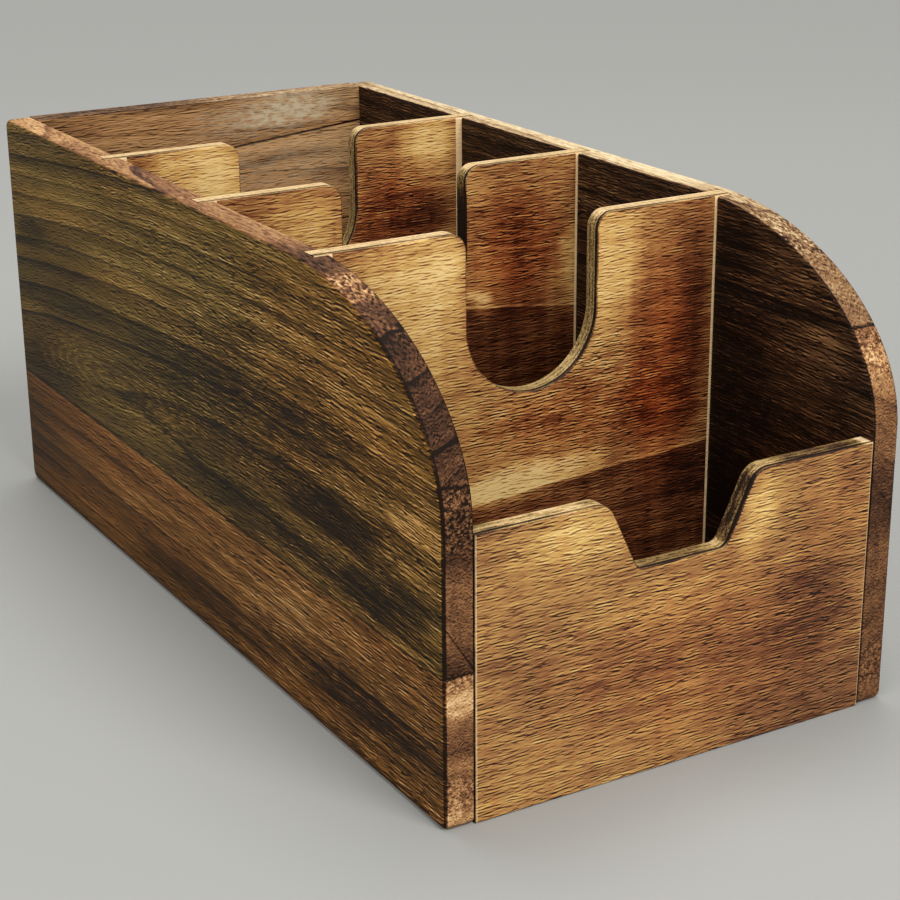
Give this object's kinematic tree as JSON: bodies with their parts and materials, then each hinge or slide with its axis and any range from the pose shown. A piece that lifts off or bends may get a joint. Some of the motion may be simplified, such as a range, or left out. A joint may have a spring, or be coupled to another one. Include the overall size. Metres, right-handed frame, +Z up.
{
  "type": "seasoning packet storage box",
  "caption": "Open-top torched wood box with swept sides, a low notched front and lift-out dividers, for upright seasoning packets.",
  "frame": {"origin": "centre of the box's footprint, on the surface that it stands on", "axes": "+Z up, -Y out of the low front, +X to the right seen from the front"},
  "size_m": [0.144, 0.3, 0.133],
  "materials": {
    "left_lower_wood": "torched, satin lacquer",
    "left_upper_wood": "torched, satin lacquer",
    "right_lower_wood": "torched, satin lacquer",
    "right_upper_wood": "torched, satin lacquer",
    "back_lower_wood": "torched, satin lacquer",
    "back_upper_wood": "torched, satin lacquer",
    "front_plywood": "torched, satin lacquer",
    "bottom_plywood": "torched, satin lacquer",
    "front_divider_plywood": "torched, satin lacquer",
    "middle_divider_plywood": "torched, satin lacquer",
    "rear_divider_plywood": "torched, satin lacquer",
    "pin_steel": "plain"
  },
  "bodies": {
    "box": {"left_side_lower_board": "left_lower_wood", "left_side_upper_board": "left_upper_wood", "right_side_lower_board": "right_lower_wood", "right_side_upper_board": "right_upper_wood", "back_lower_board": "back_lower_wood", "back_upper_board": "back_upper_wood", "front_panel": "front_plywood", "bottom_panel": "bottom_plywood", "front_panel_pins": "pin_steel", "back_panel_pins": "pin_steel", "bottom_panel_pins": "pin_steel"},
    "front_divider": {"front_divider": "front_divider_plywood"},
    "middle_divider": {"middle_divider": "middle_divider_plywood"},
    "rear_divider": {"rear_divider": "rear_divider_plywood"}
  },
  "joints": [
    {"name": "front_divider_lift", "type": "slide", "parent": "box", "child": "front_divider", "axis": [0, 0, 1], "range_m": [0, 0.13]},
    {"name": "middle_divider_lift", "type": "slide", "parent": "box", "child": "middle_divider", "axis": [0, 0, 1], "range_m": [0, 0.13]},
    {"name": "rear_divider_lift", "type": "slide", "parent": "box", "child": "rear_divider", "axis": [0, 0, 1], "range_m": [0, 0.13]}
  ]
}
